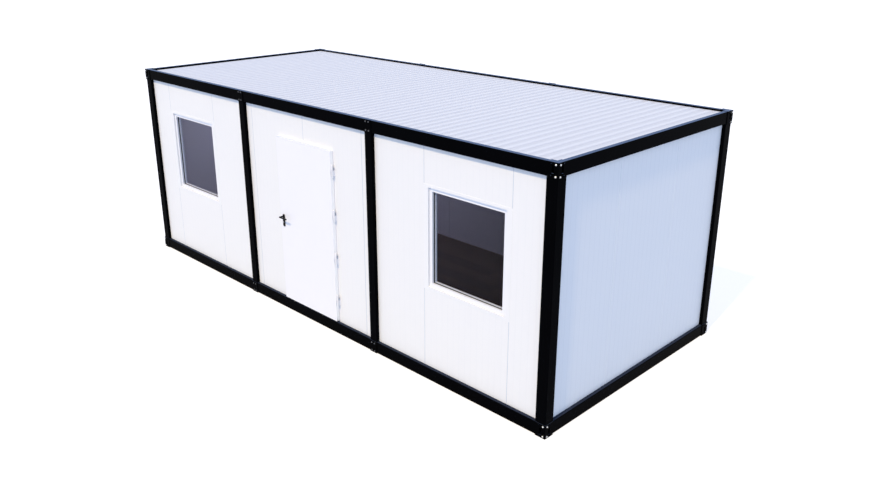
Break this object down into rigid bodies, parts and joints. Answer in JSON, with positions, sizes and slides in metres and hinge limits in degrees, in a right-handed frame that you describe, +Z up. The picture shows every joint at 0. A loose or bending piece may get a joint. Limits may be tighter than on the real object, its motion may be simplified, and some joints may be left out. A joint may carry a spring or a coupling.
{
  "type": "portable site cabin",
  "caption": "Flat-roofed portable site cabin: black bolted steel frame, white insulated wall panels, hinged outward door with lever handle and framed windows.",
  "frame": {"origin": "on the ground under the middle of the cabin", "axes": "+X along the cabin towards the right end wall, -Y out of the door side, +Z up"},
  "size_m": [7, 3.0705, 2.58],
  "materials": {
    "frame_paint": "gloss black paint",
    "wall_panel": "satin white coated sheet with fine lines",
    "window_frame": "white window profile",
    "gasket": "black glazing rubber",
    "glass": "tinted clear glass",
    "door_paint": "satin white paint",
    "threshold": "mill finish",
    "handle": "black, slightly glossy",
    "floor": "dark wood laminate",
    "joist_steel": "galvanised",
    "ceiling": "satin white",
    "roof": "white coated ribbed sheet"
  },
  "bodies": {
    "cabin": {"front_bottom_rail": "frame_paint", "back_bottom_rail": "frame_paint", "left_bottom_rail": "frame_paint", "right_bottom_rail": "frame_paint", "front_top_rail": "frame_paint", "back_top_rail": "frame_paint", "left_top_rail": "frame_paint", "right_top_rail": "frame_paint", "front_left_post": "frame_paint", "front_right_post": "frame_paint", "back_left_post": "frame_paint", "back_right_post": "frame_paint", "front_mid_posts": "frame_paint", "back_mid_posts": "frame_paint", "top_corner_blocks": "frame_paint", "bottom_corner_blocks": "frame_paint", "joint_plates": "frame_paint", "left_bay_panels": "wall_panel", "left_window_panel": "wall_panel", "right_window_panel": "wall_panel", "right_bay_panels": "wall_panel", "door_left_panels": "wall_panel", "door_right_panels": "wall_panel", "door_header_panels": "wall_panel", "back_wall_panels": "wall_panel", "left_end_panels": "wall_panel", "right_end_panels": "wall_panel", "left_window_frame": "window_frame", "right_window_frame": "window_frame", "left_window_gasket": "gasket", "right_window_gasket": "gasket", "left_window_glass": "glass", "right_window_glass": "glass", "door_frame": "door_paint", "hinge_frame_halves": "door_paint", "door_threshold": "threshold", "floor_deck": "floor", "floor_joists": "joist_steel", "ceiling_panel": "ceiling", "roof_sheet": "roof"},
    "door": {"door_leaf": "door_paint", "hinge_leaf_halves": "door_paint", "door_handle_plates": "handle"},
    "lever": {"door_lever": "handle"}
  },
  "joints": [
    {"name": "door_swing", "type": "hinge", "parent": "cabin", "child": "door", "pos_m": [0.539, -1.49, 0], "axis": [0, 0, 1], "range_deg": [0, 165]},
    {"name": "lever_press", "type": "hinge", "parent": "door", "child": "lever", "pos_m": [-0.396, -1.48, 1.2], "axis": [0, 1, 0], "range_deg": [0, 40], "stiffness_Nm_per_rad": 2, "springref_deg": -22.92}
  ]
}
